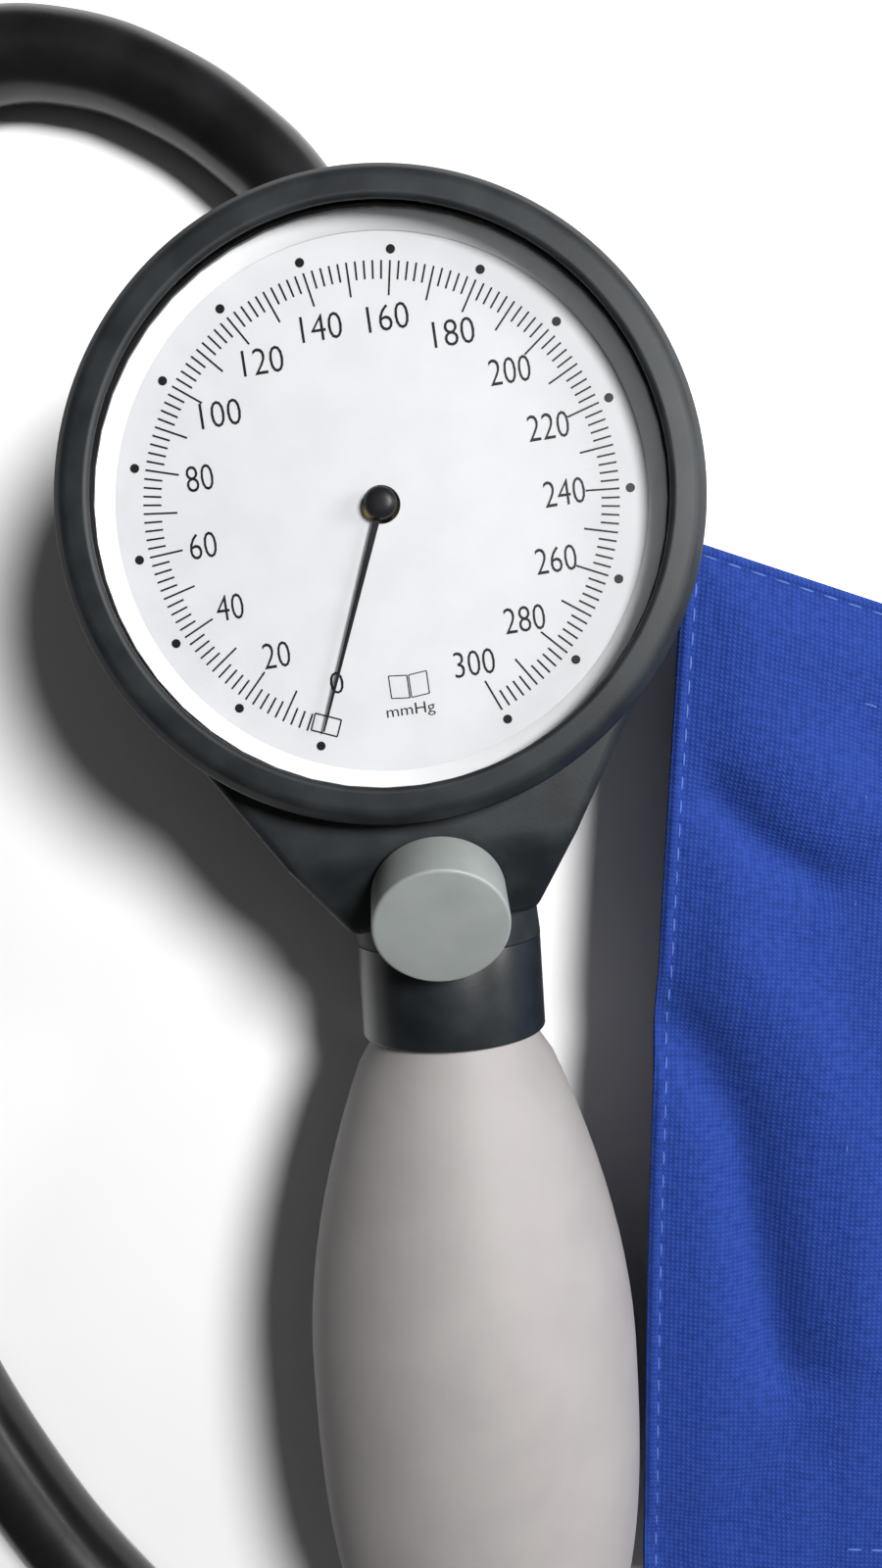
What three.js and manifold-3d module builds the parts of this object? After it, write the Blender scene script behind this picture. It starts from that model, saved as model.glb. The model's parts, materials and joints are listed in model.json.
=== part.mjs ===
// A palm-type blood pressure cuff: gauge head with valve knob, bulb, hose and a rolled-up cuff.
// Millimetres, +Z up. It lies on its back, with the dial facing up and the bulb towards -Y.
import * as THREE from 'three'
import { mergeVertices } from 'three/addons/utils/BufferGeometryUtils.js'
import Module from 'manifold-3d'

const wasm = await Module()
wasm.setup()

// Fits
const restGap = 0.3 // between pieces that rest on each other
const runGap = 0.4 // around pieces that move

// Gauge head
const windowRadius = 32 // clear opening
const bezelWidth = 4.5
const bezelOverhang = 2.1 // bezel beyond the body's top
const dialHeight = 39 // dial face above the table
const dialThickness = 0.6
const dialEdge = 0.7 // dial's rim inside the clear opening
const needleGap = 4.6 // needle's tip short of the dial's rim
const bodyDraft = 4.2 // body's foot narrower than its top
const bodyTop = 35
const bodyWall = 2.5
const coverInset = 2.7
const coverThickness = 2.4
const coverScrewInset = 4
const screwRadius = 1.5
const bossRadius = 3
const windowThickness = 1.6
const sealThickness = 0.4
const lipThickness = 1

// Movement
const basePlateHeight = 23.5
const topPlateHeight = 31
const plateThickness = 1
const gearHeight = 27
const gearThickness = 1.2
const pinionRadius = 1.5
const sectorRadius = 12
const arborRadius = 0.6
const capsuleRadius = 17
const capsuleHeight = 13
const capsuleDepth = 5.5
const pillarRadius = 1.3

// Air path
const gripHeight = 21.5 // axis of neck, collar and bulb
const ductHeight = 8
const ductRadius = 4
const ductBore = 1.5
const ductElbow = -22.5
const neckReach = 12.3 // neck's corner beyond the bezel
const neckGap = 0.342 // collar clear of the knob
const neckShoulderInset = 17.4 // neck's root inside the bezel's edge
const neckRootInset = 6
const neckTop = 38
const neckWall = 2.5
const bulbLean = THREE.MathUtils.degToRad(4.6)

// Valve
const padTilt = THREE.MathUtils.degToRad(27)
const padReach = 8.7 // middle of the knob's pad beyond the bezel
const padHeight = 35.7
const knobRadius = 8
const knobLength = 7.1
const knobWall = 1.4
const valveRadius = 4
const valveLength = 10
const spindleRadius = 1.4

// Bulb
const collarRadius = 12
const collarLength = 12.4
const collarWall = 1
const plugRadius = 6
const bulbRadius = 21.5
const bulbUpper = 41.7 // collar mouth to the widest place
const bulbLower = 49 // widest place to the round end
const bulbWall = 2.6
const discRadius = 2.8
const discThickness = 0.8
const discTravel = 1

// Hose and cuff
const hoseRadius = 6
const nippleAngle = THREE.MathUtils.degToRad(115)
const teeCentre = new THREE.Vector2(6, 20.5)
const cuffAside = 2.9 // cuff's corner beyond the body's top
const cuffDown = -7
const cuffTurn = THREE.MathUtils.degToRad(-9.7)
const cuffWidth = 145
const cuffFold = 135 // width of the rolled-up stack
const clothThickness = 0.8
const bladderThickness = 2.6
const fastenerThickness = 1
const layerGap = 1.4
const bladderWidth = 125
const portLength = 9
const portPlace = 70 // along the cuff's bottom edge, from its left end
const patchStart = 24 // left edge of the hook and loop patches
const hoseRest = hoseRadius + 0.05 // axis of the hose where it lies on the table

// Sizes worked out from the ones above
const bezelRadius = windowRadius + bezelWidth
const dialRadius = windowRadius - dialEdge
const bodyTopRadius = bezelRadius - bezelOverhang
const bodyFootRadius = bodyTopRadius - bodyDraft
const coverRadius = bodyFootRadius - coverInset
const coverScrewCircle = coverRadius - coverScrewInset
const cuffCorner = new THREE.Vector2(bodyTopRadius + cuffAside, cuffDown)
const neckCorner = -(bezelRadius + neckReach)
const neckShoulder = neckShoulderInset - bezelRadius
const neckRootHalfWidth = bezelRadius - neckRootInset
const neckHalfWidth = collarRadius
const padCentre = new THREE.Vector3(0, -(bezelRadius + padReach), padHeight)
const knobRise = 0.4 // knob's foot above its pad
const knobFoot = padCentre.y - knobRadius * Math.cos(padTilt) - knobRise * Math.sin(padTilt)
const knobFootHeight = padCentre.z - knobRadius * Math.sin(padTilt) + knobRise * Math.cos(padTilt)
const collarOverKnobFoot = gripHeight + collarRadius - knobFootHeight
const neckEnd = knobFoot - collarOverKnobFoot * Math.tan(padTilt) - neckGap
const clothHalf = bladderThickness / 2 + restGap + clothThickness
const dialRingTop = dialHeight + 1.6
const sealBottom = dialRingTop + 0.2
const windowBottom = sealBottom + sealThickness + 0.2
const lipBottom = windowBottom + windowThickness + 0.2
const bezelTop = lipBottom + lipThickness
const ringRadius = dialRadius + restGap
const paneRadius = ringRadius + 1.6
const bezelBore = paneRadius + restGap
const sectorPivot = -(sectorRadius + pinionRadius + runGap)

const material = {
  blackPlastic: { color: 0x23282b, roughness: 0.45, metalness: 0 },
  glossBlack: { color: 0x2b3337, roughness: 0.2, metalness: 0 },
  greyPlastic: { color: 0x969d98, roughness: 0.5, metalness: 0 },
  whitePlastic: { color: 0xf0f2f3, roughness: 0.4, metalness: 0 },
  dialWhite: { color: 0xe6e8ea, roughness: 0.6, metalness: 0 },
  inkBlack: { color: 0x151617, roughness: 0.5, metalness: 0 },
  clear: { color: 0xf4f8fa, roughness: 0.05, metalness: 0 },
  brass: { color: 0xb59045, roughness: 0.35, metalness: 1 },
  steel: { color: 0xb8bcc0, roughness: 0.3, metalness: 1 },
  blackRubber: { color: 0x17181a, roughness: 0.35, metalness: 0 },
  bulbRubber: { color: 0xc9c5c2, roughness: 0.6, metalness: 0 },
  blueCloth: { color: 0x2b4b9f, roughness: 0.85, metalness: 0 },
  blackFastener: { color: 0x1d2440, roughness: 0.95, metalness: 0 },
}

// Solids

function clean(geometry) {
  const bare = new THREE.BufferGeometry()
  const loose = geometry.index ? geometry.toNonIndexed() : geometry
  bare.setAttribute('position', loose.getAttribute('position'))
  return outward(mergeVertices(bare, 1e-4))
}

function outward(geometry) {
  const place = geometry.getAttribute('position')
  const corner = [0, 1, 2].map(() => new THREE.Vector3())
  const kept = []
  let volume = 0
  for (let i = 0; i < geometry.index.count; i += 3) {
    const face = [0, 1, 2].map((k) => geometry.index.getX(i + k))
    if (face[0] === face[1] || face[1] === face[2] || face[2] === face[0]) continue
    face.forEach((vertex, k) => corner[k].fromBufferAttribute(place, vertex))
    volume += corner[0].dot(corner[1].clone().cross(corner[2]))
    kept.push(face)
  }
  geometry.setIndex(kept.flatMap((face) => (volume < 0 ? [face[0], face[2], face[1]] : face)))
  return geometry
}

function toSolid(geometry) {
  const shape = clean(geometry)
  const vertProperties = shape.getAttribute('position').array
  const triVerts = new Uint32Array(shape.index.array)
  return new wasm.Manifold(new wasm.Mesh({ numProp: 3, vertProperties, triVerts }))
}

function toGeometry(solid) {
  const mesh = solid.getMesh()
  const geometry = new THREE.BufferGeometry()
  geometry.setAttribute('position', new THREE.Float32BufferAttribute(mesh.vertProperties, 3))
  geometry.setIndex([...mesh.triVerts])
  return geometry
}

function join(...parts) {
  return toGeometry(parts.map(toSolid).reduce((sum, part) => sum.add(part)))
}

function cut(geometry, ...tools) {
  return toGeometry(tools.map(toSolid).reduce((rest, tool) => rest.subtract(tool), toSolid(geometry)))
}

// A round solid about Z through the [radius, height] corners of its profile
function turned(profile, segments = 48) {
  const points = profile.map(([radius, height]) => new THREE.Vector2(radius, height))
  return new THREE.LatheGeometry(points, segments).rotateX(Math.PI / 2)
}

// A ring whose profile closes on itself
function ring(profile, segments = 48) {
  return turned([...profile, profile[0]], segments)
}

function rod(radius, bottom, top, segments = 24) {
  const length = top - bottom
  return new THREE.CylinderGeometry(radius, radius, length, segments)
    .rotateX(Math.PI / 2)
    .translate(0, 0, bottom + length / 2)
}

function tube(outer, inner, bottom, top, segments = 24) {
  return ring([[inner, bottom], [outer, bottom], [outer, top], [inner, top]], segments)
}

function plate(outline, bottom, top) {
  const shape = new THREE.Shape(outline.map(([x, y]) => new THREE.Vector2(x, y)))
  const settings = { depth: top - bottom, bevelEnabled: false, curveSegments: 12 }
  return new THREE.ExtrudeGeometry(shape, settings).translate(0, 0, bottom)
}

// Turns a solid built along +Z so that it runs from one point towards another
function along(geometry, from, direction) {
  const turn = new THREE.Quaternion().setFromUnitVectors(new THREE.Vector3(0, 0, 1), direction)
  return geometry.applyQuaternion(turn).translate(from.x, from.y, from.z)
}

function rodBetween(radius, from, to, segments = 20) {
  const line = to.clone().sub(from)
  return along(rod(radius, 0, line.length(), segments), from, line.normalize())
}

const head = new THREE.Group()

function piece(name, geometry, look, parent = head) {
  const mesh = new THREE.Mesh(clean(geometry), new THREE.MeshStandardMaterial(material[look]))
  mesh.name = name
  parent.add(mesh)
  return mesh
}

// Gauge head

const padOut = new THREE.Vector3(0, -Math.sin(padTilt), Math.cos(padTilt))
const nippleOut = new THREE.Vector3(Math.cos(nippleAngle), Math.sin(nippleAngle), 0)
const tee = new THREE.Vector3(teeCentre.x, teeCentre.y, ductHeight)
const bodyAtDuct = bodyFootRadius + (bodyDraft * (ductHeight - 1)) / (bodyTop - 2)
const teeReach = teeCentre.x * nippleOut.x + teeCentre.y * nippleOut.y
const nippleWall = Math.sqrt(teeReach ** 2 - teeCentre.lengthSq() + bodyAtDuct ** 2) - teeReach
const bossPlaces = [45, 135, 225, 315].map((angle) => {
  const turn = THREE.MathUtils.degToRad(angle)
  return [coverScrewCircle * Math.cos(turn), coverScrewCircle * Math.sin(turn), turn]
})

// Plan of the neck, set in from its outer faces by a wall
function neckPlan(inset) {
  const end = neckCorner - 1 + inset
  return [
    [neckRootHalfWidth - inset, neckShoulder],
    [neckRootHalfWidth - inset - 20, neckShoulder + 16],
    [-(neckRootHalfWidth - inset - 20), neckShoulder + 16],
    [-(neckRootHalfWidth - inset), neckShoulder],
    [-(neckHalfWidth - inset), neckCorner],
    [-(neckHalfWidth - inset), end],
    [neckHalfWidth - inset, end],
    [neckHalfWidth - inset, neckCorner],
  ]
}

// A thick slab whose underside is the sloped knob pad, lowered by a depth
function abovePad(depth) {
  const slab = new THREE.BoxGeometry(120, 120, 60).translate(0, 0, 30 - depth)
  return along(slab, padCentre, padOut)
}

function housing() {
  const shell = ring([
    [coverRadius + restGap, 0], [bodyFootRadius - 1, 0], [bodyFootRadius, 1],
    [bodyTopRadius, bodyTop - 1], [bodyTopRadius - 0.6, bodyTop],
    [bodyTopRadius - bodyWall, bodyTop], [bodyFootRadius - bodyWall + 0.4, coverThickness + 2.6],
    [coverRadius - 1.5, coverThickness + 2.1], [coverRadius - 1.5, coverThickness + restGap],
    [coverRadius + restGap, coverThickness + restGap],
  ], 64)
  const neckBottom = gripHeight - collarRadius
  const bezelRoom = rod(bezelRadius + restGap, bodyTop, bodyTop + 20, 64)
  const neckOuter = cut(plate(neckPlan(0), neckBottom, neckTop), abovePad(0), bezelRoom)
  const neckCore = plate(neckPlan(neckWall), neckBottom + neckWall, bodyTop - neckWall)
  const neckInner = cut(neckCore, abovePad(neckWall))
  const stubStart = new THREE.Vector3(0, neckCorner + 3, gripHeight)
  const stub = rodBetween(neckHalfWidth, stubStart, new THREE.Vector3(0, neckEnd - 3, gripHeight), 48)
  const core = turned([[0, -1], [bodyFootRadius - bodyWall, -1],
    [bodyTopRadius - bodyWall, bodyTop + 1], [0, bodyTop + 1]], 64)
  const bosses = bossPlaces.map(([x, y, turn]) => {
    const post = rod(bossRadius, coverThickness + restGap, basePlateHeight - restGap).translate(x, y, 0)
    const rib = new THREE.BoxGeometry(7, 2, basePlateHeight - 8).translate(coverScrewCircle + 3.4, 0, 13)
    return join(post, rib.rotateZ(turn))
  })
  const drill = ([x, y]) => rod(screwRadius * 0.7, -1, basePlateHeight + 1, 12).translate(x, y, 0)
  const drills = bossPlaces.map(drill)
  const neckFace = new THREE.BoxGeometry(60, 20, 80).translate(0, -10, 0).rotateZ(-bulbLean)
    .translate(0, neckEnd, gripHeight)
  const knobSeat = along(rod(knobRadius + 0.6, 0, 20, 40), padCentre, padOut)
  const valveHole = along(rod(valveRadius + restGap, -6, 2), padCentre, padOut)
  const plugHole = rodBetween(plugRadius - 0.7, new THREE.Vector3(0, neckCorner + 6, gripHeight),
    new THREE.Vector3(0, neckEnd - 4, gripHeight))
  const nippleHole = along(rod(3.6, 4, nippleWall + 7), tee, nippleOut)
  const whole = join(cut(shell, neckInner), cut(join(neckOuter, stub), neckInner, core), ...bosses)
  return cut(whole, ...drills, neckFace, knobSeat, valveHole, plugHole, nippleHole)
}

function screwsAndCover() {
  const disc = turned([[0, 0], [coverRadius - 0.8, 0], [coverRadius, 0.8],
    [coverRadius, coverThickness], [0, coverThickness]], 64)
  const holes = bossPlaces.map(([x, y]) => turned([[0, -1], [3.2, -1], [3.2, 0.4], [screwRadius + 0.3, 1.8],
    [screwRadius + 0.3, 9], [0, 9]], 12).translate(x, y, 0))
  piece('rear_cover', cut(disc, ...holes), 'blackPlastic')
  bossPlaces.forEach(([x, y], index) => {
    const slot = new THREE.BoxGeometry(4, 0.7, 0.8).translate(0, 0, 0.2)
    const screw = turned([[0, 0.1], [2.6, 0.1], [2.6, 0.5], [0.75, 2], [0.75, 8], [0, 8]], 20)
    piece(`rear_screw_${index + 1}`, cut(screw, slot), 'steel').position.set(x, y, 0)
    const headBottom = basePlateHeight + plateThickness + 0.2
    const plateScrew = turned([[0, headBottom - 7], [0.75, headBottom - 7], [0.75, headBottom],
      [1.8, headBottom], [1.8, headBottom + 1.2], [0, headBottom + 1.2]], 16)
    piece(`plate_screw_${index + 1}`, plateScrew, 'steel').position.set(x, y, 0)
  })
}

function frontOfGauge() {
  piece('bezel_ring', ring([
    [bezelBore, bodyTop + restGap], [bezelRadius - 1.2, bodyTop + restGap],
    [bezelRadius - 0.3, bodyTop + 1.6],
    [bezelRadius, bodyTop + 5], [bezelRadius - 0.4, bezelTop - 2.1], [bezelRadius - 1.4, bezelTop - 0.7],
    [bezelRadius - 2.8, bezelTop], [windowRadius + 1.1, bezelTop], [windowRadius + 0.2, bezelTop - 0.3],
    [windowRadius, lipBottom], [bezelBore, lipBottom],
  ], 64), 'blackPlastic')
  piece('window', turned([[0, windowBottom], [paneRadius, windowBottom],
    [paneRadius, windowBottom + windowThickness], [0, windowBottom + windowThickness]], 64), 'clear')
  const seal = tube(paneRadius, paneRadius - 1, sealBottom, sealBottom + sealThickness, 48)
  piece('window_seal', seal, 'blackRubber')
  piece('dial_ring', ring([
    [dialRadius - 1, dialHeight + restGap], [windowRadius + 0.2, dialRingTop], [paneRadius, dialRingTop],
    [paneRadius, bodyTop + restGap], [ringRadius, bodyTop + restGap], [ringRadius, dialHeight + restGap],
  ], 64), 'whitePlastic')
  const dial = tube(dialRadius, 2.2, dialHeight - dialThickness, dialHeight, 64)
  piece('dial_plate', dial, 'dialWhite')
  for (const side of [-1, 1]) {
    const foot = rod(1.2, topPlateHeight + plateThickness + restGap, dialHeight - dialThickness - 0.2, 16)
    piece(side < 0 ? 'dial_foot_1' : 'dial_foot_2', foot, 'brass').position.set(side * 9, 3, 0)
  }
}

// Pointer, gears and capsule

const zeroAngle = THREE.MathUtils.degToRad(-90 - 22.5) // the zero mark, from +X

function movement() {
  const needleBottom = dialHeight + 0.6
  const tip = dialRadius - needleGap
  const blade = [[-1.9, -0.42], [tip, -0.09], [tip, 0.09], [-1.9, 0.42]]
  const needle = plate(blade, needleBottom, needleBottom + 0.3)
  const eye = rod(1.3, needleBottom, needleBottom + 0.3)
  const hole = rod(arborRadius + 0.05, needleBottom - 1, needleBottom + 1, 12)
  const pointer = piece('pointer', cut(join(needle, eye), hole), 'inkBlack')
  pointer.rotation.z = zeroAngle
  piece('pointer_hub', turned([[0, needleBottom + 0.85], [arborRadius + 0.1, needleBottom + 0.85],
    [arborRadius + 0.1, needleBottom + 0.4], [1.85, needleBottom + 0.4], [1.85, needleBottom + 0.8],
    [1.3, needleBottom + 1.3], [0, needleBottom + 1.45]], 32), 'inkBlack')
  const arborBottom = basePlateHeight + plateThickness + restGap
  piece('pointer_arbor', turned([[0, arborBottom], [arborRadius, arborBottom],
    [arborRadius, gearHeight - 0.2], [pinionRadius, gearHeight - 0.2],
    [pinionRadius, gearHeight + gearThickness + 0.2],
    [arborRadius, gearHeight + gearThickness + 0.2], [arborRadius, needleBottom + 0.75],
    [0, needleBottom + 0.75]], 20), 'steel')
  const sector = piece('sector_gear', sectorGear(), 'brass')
  sector.position.set(0, sectorPivot, 0)
  sector.rotation.z = THREE.MathUtils.degToRad(-20)
  piece('hairspring', hairspring(), 'brass')
  const pinBottom = capsuleHeight + capsuleDepth + restGap
  piece('push_pin', turned([[0, pinBottom], [2, pinBottom], [2, pinBottom + 0.7], [0.8, pinBottom + 0.7],
    [0.8, basePlateHeight - 2], [0, basePlateHeight - 2]], 20), 'steel')
  const plateHoles = bossPlaces.map(([x, y]) => rod(1.2, 0, 60, 12).translate(x, y, 0))
  const ductNotch = new THREE.BoxGeometry(2 * ductRadius + 2, 20, 9)
    .translate(0, ductElbow + ductRadius + 0.8 - 10, basePlateHeight)
  const windows = [0, 90, 180].map((angle) => rod(6, 0, 60, 20).translate(16.5, 0, 0)
    .rotateZ(THREE.MathUtils.degToRad(angle)))
  const base = rod(coverScrewCircle + 3.4, basePlateHeight, basePlateHeight + plateThickness, 64)
  piece('movement_base_plate', cut(base, ...plateHoles, ...windows, ductNotch), 'brass')
  const topOutline = [[-13, -20], [13, -20], [13, 10], [-13, 10]]
  const top = plate(topOutline, topPlateHeight, topPlateHeight + plateThickness)
  piece('movement_top_plate', cut(top, rod(arborRadius + runGap, 0, 60, 16)), 'brass')
  const pillarPlaces = [[-11, 8], [11, 8], [-11, -16], [11, -16]]
  pillarPlaces.forEach(([x, y], index) => {
    const pillar = rod(pillarRadius, basePlateHeight + plateThickness + 0.2, topPlateHeight - 0.2, 16)
    piece(`pillar_${index + 1}`, pillar, 'brass').position.set(x, y, 0)
  })
  piece('diaphragm_capsule', ring([
    [1.2, 10.8], [2.2, 10.8], [2.2, capsuleHeight], [6, capsuleHeight], [7.5, capsuleHeight + 0.5],
    [9, capsuleHeight], [10.5, capsuleHeight + 0.5], [12, capsuleHeight], [13.5, capsuleHeight + 0.5],
    [capsuleRadius, capsuleHeight + 1.8], [capsuleRadius, capsuleHeight + capsuleDepth - 1.8],
    [13.5, capsuleHeight + capsuleDepth - 0.5], [12, capsuleHeight + capsuleDepth],
    [10.5, capsuleHeight + capsuleDepth - 0.5], [9, capsuleHeight + capsuleDepth],
    [3, capsuleHeight + capsuleDepth], [3, capsuleHeight + 3.4], [1.2, capsuleHeight + 3.4],
  ], 28), 'brass')
}

function sectorGear() {
  const outline = [[-1.6, -2.2], [1.6, -2.2]]
  const teeth = 14
  const root = sectorRadius - 0.8
  const flank = [[-1.6, root], [-0.8, sectorRadius], [0.8, sectorRadius], [1.6, root]]
  for (let tooth = 0; tooth <= teeth; tooth += 1) {
    const middle = THREE.MathUtils.degToRad(90 - 35 + (70 * tooth) / teeth)
    for (const [side, radius] of flank) {
      const turn = middle + THREE.MathUtils.degToRad(side)
      outline.push([radius * Math.cos(turn), radius * Math.sin(turn)])
    }
  }
  const body = plate(outline, gearHeight, gearHeight + gearThickness)
  const hub = rod(2.4, gearHeight, gearHeight + gearThickness)
  const axle = rod(0.7, basePlateHeight + plateThickness + restGap, topPlateHeight - restGap, 12)
  return join(body, hub, axle)
}

function hairspring() {
  const turns = 3.5
  const steps = 42
  const side = (offset) => Array.from({ length: steps + 1 }, (_, step) => {
    const share = step / steps
    const radius = 1.6 + 3.9 * share + offset
    return [radius * Math.cos(share * turns * 2 * Math.PI), radius * Math.sin(share * turns * 2 * Math.PI)]
  })
  const bottom = gearHeight + gearThickness + 0.8
  return plate([...side(0.12), ...side(-0.12).reverse()], bottom, bottom + 0.7)
}

// Air path and release valve

function airManifold() {
  const at = (x, y, z) => new THREE.Vector3(x, y, z)
  const route = [
    [at(0, neckCorner + neckWall - 0.7, gripHeight), at(0, ductElbow, gripHeight)],
    [at(0, ductElbow, gripHeight), at(0, ductElbow, ductHeight)],
    [at(0, ductElbow, ductHeight), at(0, 0, ductHeight)],
    [at(0, 0, ductHeight), at(tee.x, tee.y, ductHeight)],
  ]
  const knees = [at(0, ductElbow, gripHeight), at(0, ductElbow, ductHeight), at(0, 0, ductHeight)]
  const outer = route.map(([from, to]) => rodBetween(ductRadius, from, to, 16))
  const ball = (knee) => new THREE.SphereGeometry(ductRadius, 16, 8).translate(knee.x, knee.y, knee.z)
  const corners = knees.map(ball)
  const centre = rod(ductRadius + 0.5, ductHeight, 10.5)
  const teeBody = rod(ductRadius + 0.6, 3.6, 12.4).translate(tee.x, tee.y, 0)
  const seat = along(rod(valveRadius + 2, -valveLength - 4, -valveLength + 3), padCentre, padOut)
  const bores = route.map(([from, to]) => {
    const reach = to.clone().sub(from).normalize().multiplyScalar(ductBore)
    return rodBetween(ductBore, from.clone().sub(reach), to.clone().add(reach), 8)
  })
  const socket = along(rod(valveRadius + restGap, -valveLength - restGap, -2), padCentre, padOut)
  const leak = along(rod(1, -valveLength - 6, -2, 12), padCentre, padOut)
  const stemHole = rod(1.3, ductHeight, 20, 12)
  const stemSeat = rod(2.5, 10.5, 20, 16)
  const nippleBore = along(rod(ductBore, 0, 8, 12), tee, nippleOut)
  const nippleFace = along(rod(6.2, ductRadius + 0.2, 20), tee, nippleOut)
  const body = join(...outer, ...corners, centre, teeBody, seat)
  return cut(body, ...bores, socket, leak, stemHole, stemSeat, nippleBore, nippleFace)
}

function hoseNipple() {
  const flange = nippleWall + 2.42
  const shape = ring([[ductBore, ductRadius + 0.5], [3.3, ductRadius + 0.5], [3.3, flange],
    [hoseRadius - 0.3, flange], [hoseRadius - 0.3, flange + 1.6], [ductBore, flange + 1.6]], 32)
  return along(shape, tee, nippleOut)
}

function releaseValve() {
  const body = ring([[spindleRadius + 0.3, -valveLength + 1.2], [1.1, -valveLength],
    [valveRadius, -valveLength], [valveRadius, -0.2], [spindleRadius + 0.3, -0.2]], 28)
  piece('valve_body', along(body, padCentre, padOut), 'brass')
  const sealAt = -5
  const seal = tube(spindleRadius + 0.25, spindleRadius - 0.35, sealAt - 0.4, sealAt + 0.4, 20)
  piece('valve_seal', along(seal, padCentre, padOut), 'blackRubber')
  const spindle = turned([[0, -valveLength + 0.7], [0.5, -valveLength + 0.9],
    [spindleRadius, -valveLength + 2.2], [spindleRadius, sealAt - 0.6],
    [spindleRadius - 0.5, sealAt - 0.6], [spindleRadius - 0.5, sealAt + 0.6],
    [spindleRadius, sealAt + 0.6], [spindleRadius, 2.6], [0, 2.6]], 24)
  piece('valve_spindle', along(spindle, padCentre, padOut), 'steel')
  const face = knobLength + knobRise
  const socket = spindleRadius + 1.2
  const post = spindleRadius + 3
  const knob = turned([[0, 2.9], [socket, 2.9], [socket, 0.6], [post, 0.6],
    [post, face - 2], [knobRadius - knobWall, face - 2], [knobRadius - knobWall, knobRise],
    [knobRadius, knobRise], [knobRadius, face - 0.5], [knobRadius - 0.5, face], [0, face]], 48)
  piece('valve_knob', along(knob, padCentre, padOut), 'greyPlastic')
}

// Bulb, built along its own axis and leaning a little sideways

const grip = new THREE.Group()
grip.rotation.set(Math.PI / 2, 0, -bulbLean, 'ZXY')
grip.position.set(0, neckEnd, gripHeight)

const mouth = collarLength + restGap
const widest = mouth + bulbUpper
const bulbEnd = widest + bulbLower

function bulbRadiusAt(distance) {
  if (distance < mouth) return collarRadius - collarWall - restGap
  const neckRadius = collarRadius - 0.6
  const upward = (widest - distance) / bulbUpper
  if (distance < widest) return bulbRadius - (bulbRadius - neckRadius) * upward ** 1.8
  return bulbRadius * (1 - ((distance - widest) / bulbLower) ** 2.8) ** (1 / 2.8)
}

function bulbBody() {
  const start = 3
  const holeRadius = 5.3
  const steps = 15
  const stop = bulbEnd - 0.35
  const outer = []
  outer.push([bulbRadiusAt(start), start], [bulbRadiusAt(start), mouth - 0.01])
  for (let step = 1; step <= steps; step += 1) {
    const distance = mouth + (stop - mouth) * Math.sin((step / steps) * Math.PI / 2)
    outer.push([Math.max(bulbRadiusAt(distance), holeRadius), distance])
  }
  const inner = []
  const innerStop = stop - bulbWall
  for (let step = 0; step <= steps; step += 1) {
    const distance = mouth + (innerStop - mouth) * Math.sin((step / steps) * Math.PI / 2)
    inner.push([Math.max(bulbRadiusAt(distance) - bulbWall * 1.2, holeRadius), distance])
  }
  return ring([[plugRadius + restGap, start], ...outer, [holeRadius, stop], ...inner.reverse(),
    [plugRadius + restGap, mouth]], 40)
}

function bulbParts() {
  piece('bulb_collar', ring([
    [plugRadius - 0.7, 0.4], [collarRadius, 0.4], [collarRadius, collarLength - 0.4],
    [collarRadius - 0.3, collarLength], [collarRadius - collarWall, collarLength],
    [collarRadius - collarWall, 2.7], [plugRadius - 0.7, 2.7],
  ], 48), 'glossBlack', grip)
  const chamber = discRadius + runGap
  const stopBottom = 10 - discThickness - discTravel - 0.3
  piece('outlet_valve_body', ring([
    [ductBore, -2], [plugRadius - 1, -2], [plugRadius - 1, 3], [plugRadius, 3.4], [plugRadius, 10],
    [chamber, 10], [chamber, stopBottom], [ductBore, stopBottom],
  ], 32), 'blackPlastic', grip)
  piece('outlet_valve_disc', rod(discRadius, 9.7 - discThickness, 9.7), 'blackRubber', grip)
  piece('outlet_valve_seat', tube(plugRadius, ductBore, 10.2, 13, 32), 'blackPlastic', grip)
  piece('bulb', bulbBody(), 'bulbRubber', grip)
  const capInside = bulbEnd - 0.35
  piece('inlet_valve_body', ring([
    [ductBore, capInside - 9], [5, capInside - 9], [5, capInside + 0.2], [6.6, capInside + 0.2],
    [6.6, capInside + 1.4], [chamber, capInside + 1.4], [chamber, capInside - 4.7],
    [ductBore, capInside - 4.7],
  ], 32), 'steel', grip)
  const discTop = capInside - 2.6
  piece('inlet_valve_disc', rod(discRadius, discTop - discThickness, discTop), 'blackRubber', grip)
  piece('inlet_valve_cap', tube(discRadius + 0.1, 1.2, capInside - 2.3, capInside + 1.2, 24), 'brass', grip)
}

// Cuff, rolled up flat in four layers

const cuff = new THREE.Group()
cuff.position.set(cuffCorner.x, cuffCorner.y, 0)
cuff.rotation.z = cuffTurn

const layer = [clothHalf]
layer.push(layer[0] + 2 * clothHalf + layerGap)
layer.push(layer[1] + 2 * clothHalf + layerGap)
layer.push(layer[2] + 2 * clothHalf + 2 * fastenerThickness + 3 * restGap)
const outerTurn = (layer[3] - layer[0]) / 2
const leftTurn = (layer[2] - layer[0]) / 2
const rightCentre = cuffFold - outerTurn - clothHalf
const leftCentre = leftTurn + clothHalf + 2
const innerStart = 18

function arcPath(x, from, to, startAngle, endAngle, steps) {
  const middle = (from + to) / 2
  const radius = Math.abs(to - from) / 2
  return Array.from({ length: steps + 1 }, (_, step) => {
    const turn = THREE.MathUtils.degToRad(startAngle + ((endAngle - startAngle) * step) / steps)
    const out = [Math.cos(turn), Math.sin(turn)]
    return { x: x + radius * out[0], z: middle + radius * out[1], out }
  })
}

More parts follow.
